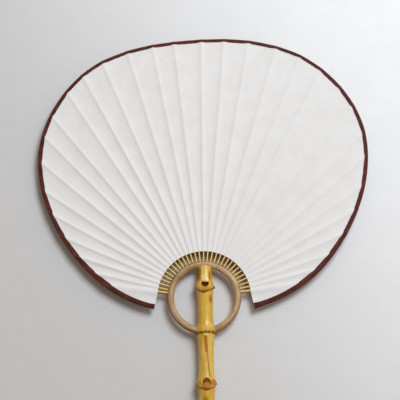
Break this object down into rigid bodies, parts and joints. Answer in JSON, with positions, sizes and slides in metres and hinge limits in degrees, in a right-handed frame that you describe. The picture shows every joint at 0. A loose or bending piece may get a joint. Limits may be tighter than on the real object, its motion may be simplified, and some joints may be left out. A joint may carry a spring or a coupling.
{
  "type": "round paper hand fan",
  "caption": "Round hand fan: a pleated paper blade with a folded edge strip, on thin bamboo ribs set in a wooden hoop, carried by a bamboo-root handle.",
  "frame": {"origin": "middle of the fan's footprint, on the surface that it lies on", "axes": "+X to the right, +Y from the handle's tail to the blade's crown, +Z out of the front face"},
  "size_m": [0.2742, 0.3696, 0.0172],
  "materials": {
    "paper": "matte unsized rice paper, pressed into pleats over the ribs",
    "edge_strip": "matte dark red-brown paper strip, folded over the rim",
    "hoop_wood": "satin bare wood with grain along the bend",
    "rib_bamboo": "split bamboo, satin",
    "bamboo_root": "glossy varnished bamboo root with brown root scars at the nodes"
  },
  "bodies": {
    "root": {"front_leaf": "paper", "back_leaf": "paper", "edge_strip": "edge_strip", "hoop": "hoop_wood", "handle": "bamboo_root", "rib_01": "rib_bamboo", "rib_02": "rib_bamboo", "rib_03": "rib_bamboo", "rib_04": "rib_bamboo", "rib_05": "rib_bamboo", "rib_06": "rib_bamboo", "rib_07": "rib_bamboo", "rib_08": "rib_bamboo", "rib_09": "rib_bamboo", "rib_10": "rib_bamboo", "rib_11": "rib_bamboo", "rib_12": "rib_bamboo", "rib_13": "rib_bamboo", "rib_14": "rib_bamboo", "rib_15": "rib_bamboo", "rib_16": "rib_bamboo", "rib_17": "rib_bamboo", "rib_18": "rib_bamboo", "rib_19": "rib_bamboo", "rib_20": "rib_bamboo", "rib_21": "rib_bamboo", "rib_22": "rib_bamboo", "rib_23": "rib_bamboo", "rib_24": "rib_bamboo", "rib_25": "rib_bamboo", "rib_26": "rib_bamboo", "rib_27": "rib_bamboo", "rib_28": "rib_bamboo", "rib_29": "rib_bamboo", "rib_30": "rib_bamboo", "rib_31": "rib_bamboo"}
  },
  "joints": []
}
